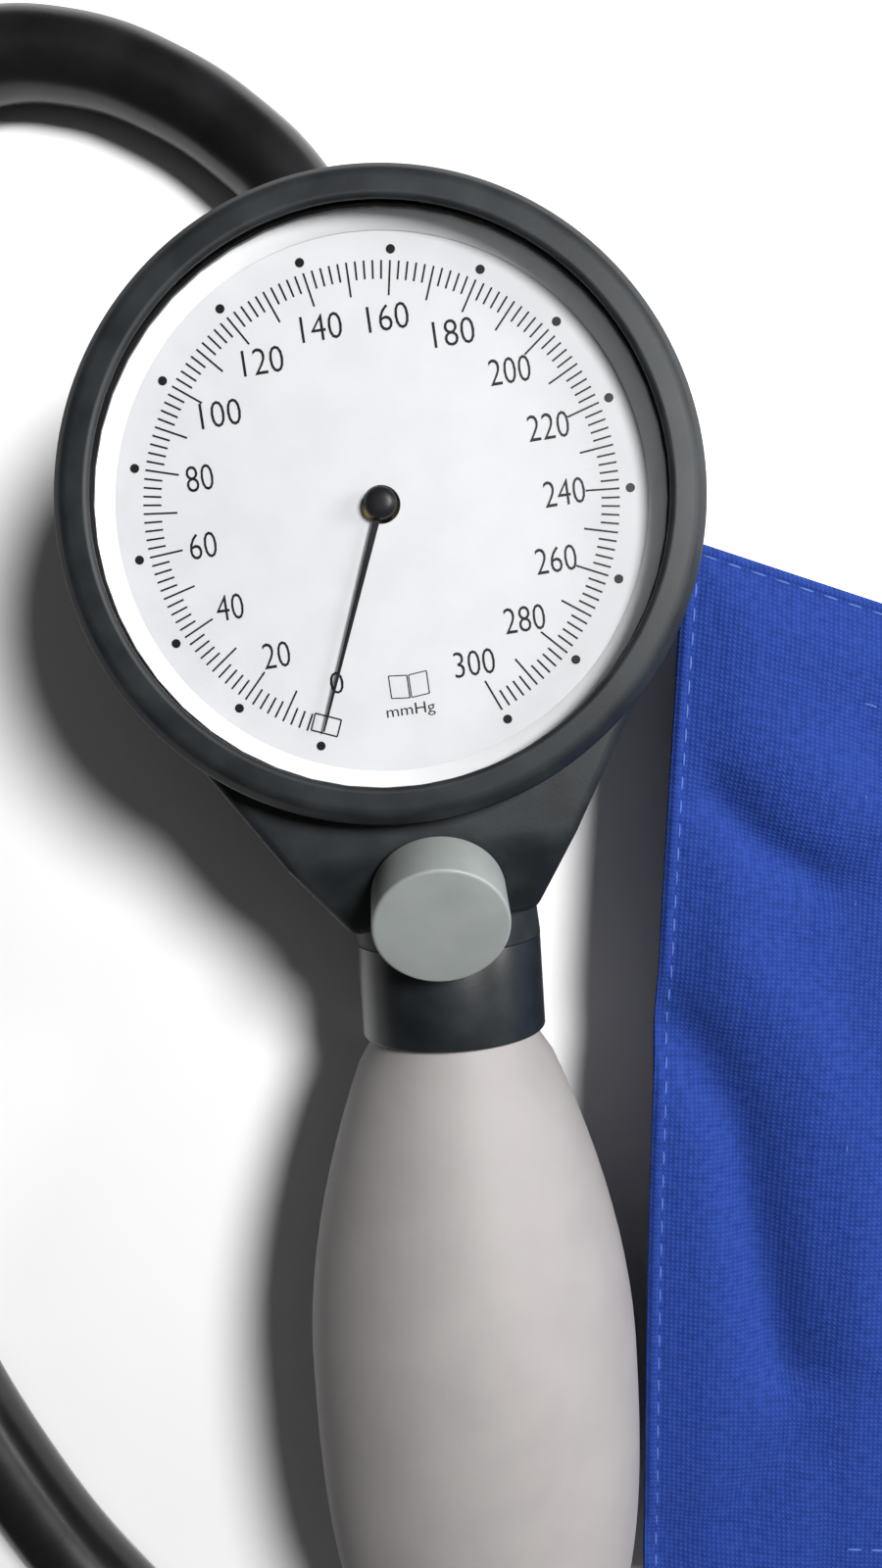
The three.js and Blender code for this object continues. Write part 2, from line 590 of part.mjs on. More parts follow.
// The middle of the cuff, from its inner end round to the free end on top
const cuffPath = [
  { x: innerStart, z: layer[1], out: [0, -1] },
  ...arcPath(rightCentre, layer[1], layer[2], -90, 90, 8),
  ...arcPath(leftCentre, layer[0], layer[2], 90, 270, 10),
  ...arcPath(rightCentre, layer[0], layer[3], -90, 90, 14),
  { x: 0, z: layer[3], out: [0, 1] },
]

// A band of cloth that follows part of the path, between two distances outwards from its middle
function band(path, inner, outer, from, to) {
  const side = (offset) => path.map(({ x, z, out }) => [x + offset * out[0], z + offset * out[1]])
  const strip = plate([...side(outer), ...side(inner).reverse()], 0, to - from)
  return strip.rotateX(Math.PI / 2).translate(0, -from, 0)
}

function cuffParts() {
  const clothInner = bladderThickness / 2 + restGap
  piece('cuff_outer_cloth', band(cuffPath, clothInner, clothHalf, 0, cuffWidth), 'blueCloth', cuff)
  piece('cuff_inner_cloth', band(cuffPath, -clothHalf, -clothInner, 0, cuffWidth), 'blueCloth', cuff)
  const margin = (cuffWidth - bladderWidth) / 2
  const bladderPath = [
    { x: innerStart + 12, z: layer[1], out: [0, -1] },
    ...arcPath(rightCentre, layer[1], layer[2], -90, 90, 8),
    { x: leftCentre + 4, z: layer[2], out: [0, 1] },
  ]
  const half = bladderThickness / 2
  const bag = band(bladderPath, -half, half, margin, cuffWidth - margin)
  const tab = new THREE.BoxGeometry(14, margin + 1, bladderThickness - 0.2)
    .translate(portPlace, -(cuffWidth - (margin + 1) / 2), layer[1])
  piece('bladder', join(bag, tab), 'blackRubber', cuff)
  const flange = hoseRadius - 0.3
  const port = ring([
    [ductBore, 0], [4, 0], [4, 1.5], [flange, 1.5], [flange, portLength], [ductBore, portLength],
  ], 28)
  const portFace = new THREE.Vector3(portPlace, -cuffWidth - restGap, layer[1])
  piece('bladder_port', along(port, portFace, new THREE.Vector3(0, -1, 0)), 'blackRubber', cuff)
  const hookTop = layer[3] - clothHalf - restGap
  const loopBottom = layer[2] + clothHalf + restGap
  const patch = (length, width, bottom) => new THREE.BoxGeometry(length, width, fastenerThickness)
    .translate(patchStart + length / 2, -cuffWidth / 2, bottom + fastenerThickness / 2)
  piece('hook_patch', patch(60, 120, hookTop - fastenerThickness), 'blackFastener', cuff)
  piece('loop_patch', patch(80, 126, loopBottom), 'blueCloth', cuff)
}

// Hose, lying on the table from the nipple round to the bladder port
const hoseRoute = [
  [-0.8, 35, 8], [-3.8, 41.4, 7.9], [-7.2, 49.8, 7], [-13.2, 58, 6.2], [-22.4, 66.2, hoseRest],
  [-34, 72.3, hoseRest], [-48, 74.3, hoseRest], [-62, 70.6, hoseRest], [-74.5, 61, hoseRest],
  [-84.5, 46, hoseRest], [-90, 26, hoseRest], [-94, 3, hoseRest], [-95, -22, hoseRest],
  [-94, -48, hoseRest], [-91, -75, hoseRest], [-85.5, -102, hoseRest], [-76.5, -127, hoseRest],
  [-63.5, -150, hoseRest], [-46.5, -170, hoseRest], [-26, -186, hoseRest], [-3, -197, hoseRest],
  [22, -203, hoseRest], [45, -204.5, hoseRest], [61, -201, 6.2], [71.5, -194, 6.8],
  [77, -186, 7.7], [79.4, -178.5, 8.4], [80.6, -171.2, 8.6],
]

function hose(route) {
  const curve = new THREE.CatmullRomCurve3(route, false, 'centripetal')
  const section = new THREE.Shape(Array.from({ length: 10 }, (_, side) => {
    const turn = (side / 10) * 2 * Math.PI
    return new THREE.Vector2(hoseRadius * Math.cos(turn), hoseRadius * Math.sin(turn))
  }))
  return new THREE.ExtrudeGeometry(section, { steps: 46, bevelEnabled: false, extrudePath: curve })
}

piece('housing', housing(), 'blackPlastic')
screwsAndCover()
frontOfGauge()
movement()
piece('air_manifold', airManifold(), 'blackPlastic')
piece('hose_nipple', hoseNipple(), 'blackPlastic')
releaseValve()
bulbParts()
cuffParts()
piece('hose', hose(hoseRoute.map((point) => new THREE.Vector3(...point))), 'blackRubber')

// The origin is under the middle of everything but the hose, on the table
const layout = new THREE.Group()
layout.add(head, grip, cuff)
layout.updateMatrixWorld(true)
const reach = new THREE.Box3()
layout.traverse((part) => {
  if (part.isMesh && part.name !== 'hose') reach.expandByObject(part, true)
})
const middle = reach.getCenter(new THREE.Vector3())
layout.position.set(-middle.x, -middle.y, -reach.min.z)
export default layout
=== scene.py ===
# Looks of a palm-type blood pressure cuff: gauge head, bulb, hose and rolled-up cuff.
# Metres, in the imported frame; places on the gauge count from its centre, in millimetres.
import json
import math

import bpy
from mathutils import Matrix, Vector, noise


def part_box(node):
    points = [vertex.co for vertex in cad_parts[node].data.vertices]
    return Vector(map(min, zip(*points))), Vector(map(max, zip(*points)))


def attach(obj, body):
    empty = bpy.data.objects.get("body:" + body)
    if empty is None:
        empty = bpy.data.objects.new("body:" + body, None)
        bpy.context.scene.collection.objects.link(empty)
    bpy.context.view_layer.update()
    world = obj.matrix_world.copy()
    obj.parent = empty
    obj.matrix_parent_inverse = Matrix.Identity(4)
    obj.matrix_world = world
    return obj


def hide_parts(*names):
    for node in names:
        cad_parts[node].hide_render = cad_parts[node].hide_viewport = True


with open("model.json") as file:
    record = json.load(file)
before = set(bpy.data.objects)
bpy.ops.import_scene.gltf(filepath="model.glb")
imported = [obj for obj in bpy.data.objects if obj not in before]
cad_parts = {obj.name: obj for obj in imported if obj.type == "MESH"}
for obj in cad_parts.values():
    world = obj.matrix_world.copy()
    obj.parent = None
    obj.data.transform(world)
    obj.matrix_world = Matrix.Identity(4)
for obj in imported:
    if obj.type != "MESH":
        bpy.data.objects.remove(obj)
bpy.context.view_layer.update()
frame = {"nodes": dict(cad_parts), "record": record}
cad = frame["nodes"]
base = "head_and_cuff"
mm = 0.001


def middleOf(node):
    low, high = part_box(node)
    return (Vector(low) + Vector(high)) / 2


gauge = Vector((middleOf("dial_plate").x, middleOf("dial_plate").y, 0))
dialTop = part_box("dial_plate")[1][2]


def atGauge(x, y, z):
    return gauge + Vector((x, y, z)) * mm


# Camera and hose come first

cameraView = {"place": (5.0, -24.4, 174.9), "target": (1.4, -34.9, 0), "roll": 8.2, "lens": 27.05}


def placeCamera(view):
    place, target = atGauge(*view["place"]), atGauge(*view["target"])
    roll = math.radians(view["roll"])
    away = (place - target).normalized()
    right = Vector((math.sin(roll), math.cos(roll), 0)).cross(away).normalized()
    up = away.cross(right)
    bpy.ops.object.camera_add(location=place)
    camera = bpy.context.object
    camera.rotation_euler = Matrix((right, up, away)).transposed().to_euler()
    camera.data.lens = view["lens"]
    camera.data.sensor_width = 36
    camera.data.clip_start = 0.01
    bpy.context.scene.camera = camera


hose = {
    "diameter": 12,
    "bow": 1.004,  # the curve is longer than its chords by this much
    "route": [
        (-0.8, 35, 8), (-3.8, 41.4, 7.9), (-7.2, 49.8, 7), (-13.2, 58, 6.2), (-22.4, 66.2, 6.05),
        (-34, 72.3, 6.05), (-48, 74.3, 6.05), (-62, 70.6, 6.05), (-74.5, 61, 6.05), (-84.5, 46, 6.05),
        (-90, 26, 6.05), (-94, 3, 6.05), (-95, -22, 6.05), (-94, -48, 6.05), (-91, -75, 6.05),
        (-85.5, -102, 6.05), (-76.5, -127, 6.05), (-63.5, -150, 6.05), (-46.5, -170, 6.05),
        (-26, -186, 6.05), (-3, -197, 6.05), (22, -203, 6.05), (45, -204.5, 6.05), (61, -201, 6.2),
        (71.5, -194, 6.8), (77, -186, 7.7), (79.4, -178.5, 8.4), (80.6, -171.2, 8.6),
    ],
}


# Materials


def newMaterial(name):
    material = bpy.data.materials.new(name)
    material.use_nodes = True
    tree = material.node_tree
    return material, tree, tree.nodes["Principled BSDF"]


def addNode(tree, kind, **values):
    node = tree.nodes.new(kind)
    for key, value in values.items():
        if key in node.inputs:
            node.inputs[key].default_value = value
        else:
            setattr(node, key, value)
    return node


def objectPlace(tree):
    return addNode(tree, "ShaderNodeTexCoord").outputs["Object"]


def grain(tree, shader, scale, roughLow, roughHigh, bumpDistance, detail=4.0):  # uneven gloss, fine bump
    place = objectPlace(tree)
    fine = addNode(tree, "ShaderNodeTexNoise", Scale=scale, Detail=detail)
    broad = addNode(tree, "ShaderNodeTexNoise", Scale=scale / 14, Detail=3.0)
    rough = addNode(tree, "ShaderNodeMapRange")
    rough.inputs["To Min"].default_value = roughLow
    rough.inputs["To Max"].default_value = roughHigh
    bump = addNode(tree, "ShaderNodeBump", Strength=0.6, Distance=bumpDistance)
    tree.links.new(place, fine.inputs["Vector"])
    tree.links.new(place, broad.inputs["Vector"])
    tree.links.new(broad.outputs["Fac"], rough.inputs["Value"])
    tree.links.new(rough.outputs["Result"], shader.inputs["Roughness"])
    tree.links.new(fine.outputs["Fac"], bump.inputs["Height"])
    tree.links.new(bump.outputs["Normal"], shader.inputs["Normal"])
    return broad


def mottle(tree, shader, source, dark, light):  # colour that drifts between two shades
    ramp = addNode(tree, "ShaderNodeValToRGB")
    ramp.color_ramp.elements[0].position = 0.35
    ramp.color_ramp.elements[1].position = 0.68
    ramp.color_ramp.elements[0].color = (*dark, 1)
    ramp.color_ramp.elements[1].color = (*light, 1)
    tree.links.new(source.outputs["Fac"], ramp.inputs["Fac"])
    tree.links.new(ramp.outputs["Color"], shader.inputs["Base Color"])


def plasticMaterial(name, dark, light, roughLow, roughHigh, scale=2600, bump=0.00001, level=0.5):
    material, tree, shader = newMaterial(name)
    broad = grain(tree, shader, scale, roughLow, roughHigh, bump)
    mottle(tree, shader, broad, dark, light)
    shader.inputs["Specular IOR Level"].default_value = level
    return material


def metalMaterial(name, colour, roughLow, roughHigh):
    material, tree, shader = newMaterial(name)
    broad = grain(tree, shader, 3200, roughLow, roughHigh, 0.000006)
    dark = tuple(0.82 * part for part in colour)
    mottle(tree, shader, broad, dark, colour)
    shader.inputs["Metallic"].default_value = 1
    return material


def windowMaterial():  # sees through straight on, mirrors towards the rim, faint smears
    material, tree, shader = newMaterial("clear_window")
    edge = addNode(tree, "ShaderNodeFresnel", IOR=1.42)
    smear = addNode(tree, "ShaderNodeTexNoise", Scale=90.0, Detail=5.0)
    rough = addNode(tree, "ShaderNodeMapRange")
    rough.inputs["To Min"].default_value = 0.02
    rough.inputs["To Max"].default_value = 0.09
    tree.links.new(objectPlace(tree), smear.inputs["Vector"])
    tree.links.new(smear.outputs["Fac"], rough.inputs["Value"])
    tree.links.new(rough.outputs["Result"], shader.inputs["Roughness"])
    side = addNode(tree, "ShaderNodeNewGeometry")
    front = addNode(tree, "ShaderNodeMath", operation="SUBTRACT")  # the underside never turns into a mirror
    front.inputs[0].default_value = 1
    sheen = addNode(tree, "ShaderNodeMath", operation="MULTIPLY")
    tree.links.new(side.outputs["Backfacing"], front.inputs[1])
    tree.links.new(edge.outputs["Fac"], sheen.inputs[0])
    tree.links.new(front.outputs["Value"], sheen.inputs[1])
    tree.links.new(sheen.outputs["Value"], shader.inputs["Alpha"])
    shader.inputs["Base Color"].default_value = (0.95, 0.97, 1, 1)
    shader.inputs["Metallic"].default_value = 1
    return material


def clothMaterial(name, dark, light, thread=0.6):  # plain weave over the cloth's own map, in millimetres
    material, tree, shader = newMaterial(name)
    flat = addNode(tree, "ShaderNodeUVMap")
    warp = addNode(tree, "ShaderNodeTexWave", Scale=0.314 / thread, Distortion=0.6, Detail=1.0)
    weft = addNode(tree, "ShaderNodeTexWave", Scale=0.314 / thread, Distortion=0.6, Detail=1.0)
    warp.bands_direction = "X"
    weft.bands_direction = "Y"
    woven = addNode(tree, "ShaderNodeMath", operation="MULTIPLY")
    slub = addNode(tree, "ShaderNodeTexNoise", Scale=0.9, Detail=3.0)
    mix = addNode(tree, "ShaderNodeMath", operation="MULTIPLY_ADD")
    mix.inputs[1].default_value = 0.5
    bump = addNode(tree, "ShaderNodeBump", Strength=0.55, Distance=0.00016)
    links = tree.links
    for pattern in (warp, weft, slub):
        links.new(flat.outputs["UV"], pattern.inputs["Vector"])
    links.new(warp.outputs["Fac"], woven.inputs[0])
    links.new(weft.outputs["Fac"], woven.inputs[1])
    links.new(woven.outputs["Value"], mix.inputs[0])
    links.new(slub.outputs["Fac"], mix.inputs[2])
    ramp = addNode(tree, "ShaderNodeValToRGB")
    ramp.color_ramp.elements[0].position = 0.3
    ramp.color_ramp.elements[1].position = 0.95
    ramp.color_ramp.elements[0].color = (*dark, 1)
    ramp.color_ramp.elements[1].color = (*light, 1)
    links.new(mix.outputs["Value"], ramp.inputs["Fac"])
    links.new(ramp.outputs["Color"], shader.inputs["Base Color"])
    links.new(woven.outputs["Value"], bump.inputs["Height"])
    links.new(bump.outputs["Normal"], shader.inputs["Normal"])
    shader.inputs["Roughness"].default_value = 0.85
    shader.inputs["Sheen Weight"].default_value = 0.1
    shader.inputs["Sheen Roughness"].default_value = 0.4
    shader.inputs["Sheen Tint"].default_value = (0.3, 0.45, 1, 1)
    shader.inputs["Specular IOR Level"].default_value = 0.12
    return material


def napMaterial(name, dark, light):  # hook or loop tape, a dense pile of tiny bumps
    material, tree, shader = newMaterial(name)
    pile = addNode(tree, "ShaderNodeTexVoronoi", Scale=1300.0)
    bump = addNode(tree, "ShaderNodeBump", Strength=0.8, Distance=0.0003)
    tree.links.new(objectPlace(tree), pile.inputs["Vector"])
    tree.links.new(pile.outputs["Distance"], bump.inputs["Height"])
    tree.links.new(bump.outputs["Normal"], shader.inputs["Normal"])
    ramp = addNode(tree, "ShaderNodeValToRGB")
    ramp.color_ramp.elements[0].color = (*light, 1)
    ramp.color_ramp.elements[1].color = (*dark, 1)
    tree.links.new(pile.outputs["Distance"], ramp.inputs["Fac"])
    tree.links.new(ramp.outputs["Color"], shader.inputs["Base Color"])
    shader.inputs["Roughness"].default_value = 0.9
    return material


charcoal = ((0.008, 0.01, 0.012), (0.016, 0.02, 0.023))
finish = {
    "black_plastic": plasticMaterial("black_plastic", *charcoal, 0.46, 0.6, bump=0.00002, level=0.3),
    "gloss_black": plasticMaterial(
        "gloss_black", *charcoal, 0.28, 0.38, scale=1800, bump=0.000012, level=0.55
    ),
    "grey_plastic": plasticMaterial("grey_plastic", (0.225, 0.245, 0.237), (0.25, 0.27, 0.262), 0.42, 0.55),
    "white_plastic": plasticMaterial("white_plastic", (0.66, 0.67, 0.68), (0.7, 0.71, 0.72), 0.16, 0.26),
    "dial_white": plasticMaterial("dial_white", (0.5, 0.51, 0.525), (0.53, 0.54, 0.555), 0.55, 0.7),
    "ink_black": plasticMaterial(
        "ink_black", (0.004, 0.004, 0.005), (0.008, 0.008, 0.01), 0.3, 0.42, level=0.2
    ),
    "clear_window": windowMaterial(),
    "brass": metalMaterial("brass", (0.62, 0.44, 0.16), 0.24, 0.4),
    "steel": metalMaterial("steel", (0.62, 0.63, 0.64), 0.2, 0.36),
    "black_rubber": plasticMaterial(
        "black_rubber", (0.006, 0.006, 0.0065), (0.011, 0.011, 0.012), 0.22, 0.36, 1400
    ),
    "bulb_rubber": plasticMaterial(
        "bulb_rubber", (0.27, 0.254, 0.25), (0.295, 0.278, 0.273), 0.5, 0.66, 1500, 0.00003, 0.35
    ),
    "blue_cloth": clothMaterial("blue_cloth", (0.009, 0.028, 0.165), (0.02, 0.052, 0.27)),
    "hook_fastener": napMaterial("hook_fastener", (0.003, 0.008, 0.035), (0.012, 0.026, 0.09)),
    "loop_fastener": napMaterial("loop_fastener", (0.008, 0.022, 0.1), (0.025, 0.055, 0.21)),
    "thread": plasticMaterial("thread", (0.035, 0.085, 0.32), (0.055, 0.12, 0.4), 0.6, 0.8, 4000, 0.00004),
}


def paint(obj, slot):
    obj.data.materials.clear()
    obj.data.materials.append(finish[slot])


for entry in frame["record"]["subparts"]:
    paint(cad[entry["node"]], entry["material_slot"])
print("materials done")


# Helpers for new pieces


def deselect():
    if bpy.context.object and bpy.context.object.mode != "OBJECT":
        bpy.ops.object.mode_set(mode="OBJECT")
    bpy.ops.object.select_all(action="DESELECT")


def choose(obj, *others):
    deselect()
    for item in (obj, *others):
        item.select_set(True)
    bpy.context.view_layer.objects.active = obj


def settle(obj, name, slot, stands=(), body=base, smooth=35):  # place into the mesh, finish, body
    choose(obj)
    bpy.ops.object.transform_apply(location=True, rotation=True, scale=True)
    bpy.ops.object.shade_smooth_by_angle(angle=math.radians(smooth))
    obj.name = name
    paint(obj, slot)
    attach(obj, body)
    if stands:
        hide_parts(*stands)
    return obj


def loft(profile, steps, capped):  # stacks rings of [radius, height] corners, from a circle up
    deselect()
    radius, height = profile[0]
    fill = "NGON" if capped else "NOTHING"
    bpy.ops.mesh.primitive_circle_add(
        vertices=steps, radius=radius * mm, fill_type=fill, location=(0, 0, height * mm)
    )
    obj = bpy.context.object
    bpy.ops.object.mode_set(mode="EDIT")
    bpy.ops.mesh.select_all(action="SELECT")
    ends = profile[1:] if capped else profile[1:] + profile[:1]
    centre = 0
    for nextRadius, nextHeight in ends:
        bpy.ops.mesh.extrude_region_move(
            TRANSFORM_OT_translate={"value": (0, 0, (nextHeight - height) * mm)}
        )
        grow = nextRadius / radius
        bpy.ops.transform.resize(value=(grow, grow, 1), center_override=(0, 0, centre))
        radius, height = nextRadius, nextHeight
    bpy.ops.mesh.select_all(action="SELECT")
    bpy.ops.mesh.remove_doubles(threshold=0.000003)
    bpy.ops.mesh.normals_make_consistent(inside=False)
    bpy.ops.object.mode_set(mode="OBJECT")
    return obj


def turned(name, profile, slot, stands=(), body=base, place=None, steps=128, capped=False):
    obj = loft(profile, steps, capped)
    obj.matrix_world = (Matrix.Translation(gauge) if place is None else place) @ obj.matrix_world
    return settle(obj, name, slot, stands, body)


def rounded(corners, radius, steps=4, closed=True):  # the same profile with its corners rounded
    count = len(corners)
    out = []
    for index, here in enumerate(corners):
        if not closed and index in (0, count - 1):
            out.append(tuple(here))
            continue
        a, b, c = Vector(corners[index - 1]), Vector(here), Vector(corners[(index + 1) % count])
        size = min(radius, (a - b).length * 0.45, (c - b).length * 0.45)
        start = b + (a - b).normalized() * size
        end = b + (c - b).normalized() * size
        for step in range(steps + 1):
            share = step / steps
            out.append(tuple(start * (1 - share) ** 2 + b * 2 * share * (1 - share) + end * share**2))
    return out


def boolean(obj, tool, operation="DIFFERENCE"):
    choose(obj)
    change = obj.modifiers.new("change", "BOOLEAN")
    change.operation = operation
    change.object = tool
    bpy.ops.object.modifier_apply(modifier=change.name)
    bpy.data.objects.remove(tool, do_unlink=True)


def rodAt(radius, low, high, place, steps=64):  # a plain cutting rod along the place's Z axis
    deselect()
    bpy.ops.mesh.primitive_cylinder_add(
        vertices=steps, radius=radius * mm, depth=(high - low) * mm, location=(0, 0, (high + low) / 2 * mm)
    )
    rod = bpy.context.object
    rod.matrix_world = place @ rod.matrix_world
    return rod


def facing(direction, *place):  # a place on the gauge whose Z axis points along a direction
    turn = Vector((0, 0, 1)).rotation_difference(Vector(direction)).to_matrix().to_4x4()
    return Matrix.Translation(atGauge(*place)) @ turn


upright = Matrix.Translation(gauge)

placeCamera(cameraView)

# Hose: from the nipple behind the gauge to the cuff's port


def layHose():
    points = [atGauge(*point) for point in hose["route"]]
    curve = bpy.data.curves.new("hose_line", "CURVE")
    curve.dimensions = "3D"
    curve.resolution_u = 10
    curve.bevel_depth = hose["diameter"] / 2 * mm
    curve.bevel_resolution = 8
    curve.use_fill_caps = True
    line = curve.splines.new("BEZIER")
    line.bezier_points.add(len(points) - 1)
    for knot, point in zip(line.bezier_points, points):
        knot.co = point
        knot.handle_left_type = knot.handle_right_type = "AUTO"
    obj = bpy.data.objects.new("hose_tube", curve)
    bpy.context.collection.objects.link(obj)
    paint(obj, "black_rubber")
    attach(obj, base)
    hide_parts("hose")
    length = sum((b - a).length for a, b in zip(points, points[1:])) * hose["bow"]
    return length


print(f"hose {layHose():.3f} m long")

# Gauge head

head = {"ringRound": 0.45, "lean": 4.6, "neckEnd": -53.4, "gripHeight": 21.5, "padTilt": 27,
    "padCentre": (0, -45.2, 35.7)}
padOut = (0, -math.sin(math.radians(head["padTilt"])), math.cos(math.radians(head["padTilt"])))
padPlace = facing(padOut, *head["padCentre"])
gripPlace = (
    Matrix.Translation(atGauge(0, head["neckEnd"], head["gripHeight"]))
    @ Matrix.Rotation(math.radians(-head["lean"]), 4, "Z")
    @ Matrix.Rotation(math.pi / 2, 4, "X")
)

bezelCorners = [
    (33.5, 35.3), (35.3, 35.3), (36.2, 36.7), (36.5, 40), (36.4, 42.3), (35.3, 43.7), (34.6, 43.95),
    (32.5, 44.1), (32.05, 43.8), (32, 43.2), (33.5, 43.2),
]
turned("bezel", rounded(bezelCorners, head["ringRound"], 5), "black_plastic", ["bezel_ring"], steps=180)
coneCorners = [(30.3, 39.03), (32.2, 40.6), (33.2, 40.6), (33.2, 35.3), (31.6, 35.3), (31.6, 39.03)]
turned("cone_ring", rounded(coneCorners, 0.25, 2), "white_plastic", ["dial_ring"], steps=180)
turned("needle_cap", [(0.7, 40.45), (0.7, 40), (1.85, 40), (1.85, 40.4), (1.72, 40.65), (1.45, 40.85),
    (1, 41), (0.4, 41.05)], "ink_black", ["pointer_hub"], body="pointer", steps=48, capped=True)

# Neck: a tapered block under a sloped pad, hollow like the housing

neck = {
    "rootHalf": 30.5, "shoulder": -19.1, "corner": -48.8, "endHalf": 12,
    "top": 38, "bottom": 9.5, "edge": 1.3, "wall": 2.5,
}


def bisectAt(co, normal):
    bpy.ops.mesh.select_all(action="SELECT")
    bpy.ops.mesh.bisect(plane_co=co, plane_no=normal, use_fill=True, clear_outer=True)


def neckBlock(inset):
    deselect()
    wide, low, high = neck["rootHalf"] - inset, neck["bottom"] + inset, neck["top"] - (1.2 * inset)
    front, back = neck["corner"] - 1 + inset, -3.1
    bpy.ops.mesh.primitive_cube_add(size=1)
    obj = bpy.context.object
    obj.scale = Vector((2 * wide, back - front, high - low)) * mm
    obj.location = atGauge(0, (front + back) / 2, (low + high) / 2)
    bpy.ops.object.transform_apply(location=True, rotation=True, scale=True)
    bpy.ops.object.mode_set(mode="EDIT")
    drop = neck["endHalf"] - neck["rootHalf"]
    run = neck["corner"] - neck["shoulder"]
    for side in (-1, 1):
        taper = Vector((-run * side, drop, 0)).normalized()
        bisectAt(atGauge(side * wide, neck["shoulder"], 0), taper)
        bisectAt(atGauge(side * wide, neck["shoulder"], 0), Vector((16 * side, 20, 0)).normalized())
    pad = Vector(padOut)
    bisectAt(atGauge(*head["padCentre"]) - pad * inset * mm, pad)
    bpy.ops.object.mode_set(mode="OBJECT")
    return obj


def stub(back):  # the round end of the neck, cut off square to the leaning bulb
    rod = rodAt(neck["endHalf"], 45, 57, back, 96)
    choose(rod)
    bpy.ops.object.transform_apply(location=True, rotation=True, scale=True)
    bpy.ops.object.mode_set(mode="EDIT")
    bisectAt(gripPlace @ Vector((0, 0, 0.06 * mm)), gripPlace.to_3x3() @ Vector((0, 0, 1)))
    bpy.ops.object.mode_set(mode="OBJECT")
    return rod


def makeNeck():
    obj = neckBlock(0)
    choose(obj)
    edge = obj.modifiers.new("edge", "BEVEL")
    edge.width = neck["edge"] * mm
    edge.segments = 4
    edge.limit_method = "ANGLE"
    edge.angle_limit = math.radians(20)
    bpy.ops.object.modifier_apply(modifier="edge")
    back = facing((0, -1, 0), 0, 0, head["gripHeight"])
    boolean(obj, stub(back), "UNION")
    boolean(obj, neckBlock(neck["wall"]))
    core = loft([(27.7, -1), (31.9, 36), (31.9, 50)], 96, True)
    core.matrix_world = upright @ core.matrix_world
    boolean(obj, core)
    boolean(obj, rodAt(36.8, 35, 60, upright, 128))
    boolean(obj, rodAt(8.6, 0, 20, padPlace))
    boolean(obj, rodAt(4.3, -6, 2, padPlace))
    boolean(obj, rodAt(5.3, 40, 60, back))
    return obj


shellCorners = [
    (27.8, 0.05), (29.2, 0), (30.2, 1), (34.4, 34), (33.8, 35), (31.9, 35), (28.1, 5), (26, 4.5),
    (26, 2.7), (27.8, 2.7),
]


def makeHousing():
    neckPart = makeNeck()
    shell = loft(rounded(shellCorners, 0.8, 3), 180, False)
    shell.matrix_world = upright @ shell.matrix_world
    boolean(shell, neckBlock(neck["wall"]))
    choose(neckPart, shell)
    bpy.ops.object.join()
    settle(neckPart, "gauge_body", "black_plastic", ["housing"], smooth=28)


makeHousing()
print("housing done")

# Valve knob, collar, bulb and end fittings

knobCorners = [(2.6, 2.9), (2.6, 0.6), (4.4, 0.6), (4.4, 5.5), (6.6, 5.5), (6.6, 0.4), (8, 0.4),
    (8, 7.5), (5, 7.5)]
turned("knob", rounded(knobCorners, 0.45, 4, closed=False), "grey_plastic", ["valve_knob"],
    body="valve_turn", place=padPlace, steps=128, capped=True)
collarCorners = [(5.3, 0.16), (12, 0.16), (12, 12.1), (11.7, 12.4), (11.05, 12.4), (11.05, 2.7), (5.3, 2.7)]
turned("collar", rounded(collarCorners, 0.16, 3), "gloss_black", ["bulb_collar"], place=gripPlace)

bulb = {
    "radius": 21.5, "mouth": 12.7, "upper": 41.7, "lower": 49, "neckRadius": 11.4, "plug": 10.7,
    "wall": 2.6, "hole": 5.3, "cut": 0.35,
}
bulbWidest = bulb["mouth"] + bulb["upper"]
bulbEnd = bulbWidest + bulb["lower"]


def bulbRadius(distance):
    if distance < bulb["mouth"]:
        return bulb["plug"]
    if distance < bulbWidest:
        upward = (bulbWidest - distance) / bulb["upper"]
        return bulb["radius"] - (bulb["radius"] - bulb["neckRadius"]) * upward**1.8
    downward = (distance - bulbWidest) / bulb["lower"]
    return bulb["radius"] * (1 - min(downward, 1) ** 2.8) ** (1 / 2.8)


def bulbProfile():
    stop = bulbEnd - bulb["cut"]
    outer = [(bulb["plug"], 3), (bulb["plug"], bulb["mouth"] - 0.01)]
    inner = []
    for step in range(1, 41):
        share = math.sin(step / 40 * math.pi / 2)
        place = bulb["mouth"] + (stop - bulb["mouth"]) * share
        outer.append((max(bulbRadius(place), bulb["hole"]), place))
    for step in range(17):
        place = bulb["mouth"] + (stop - bulb["wall"] - bulb["mouth"]) * math.sin(step / 16 * math.pi / 2)
        inner.append((max(bulbRadius(place) - bulb["wall"] * 1.2, bulb["hole"]), place))
    return [(6.3, 3), *outer, (bulb["hole"], stop), *reversed(inner), (6.3, bulb["mouth"])]


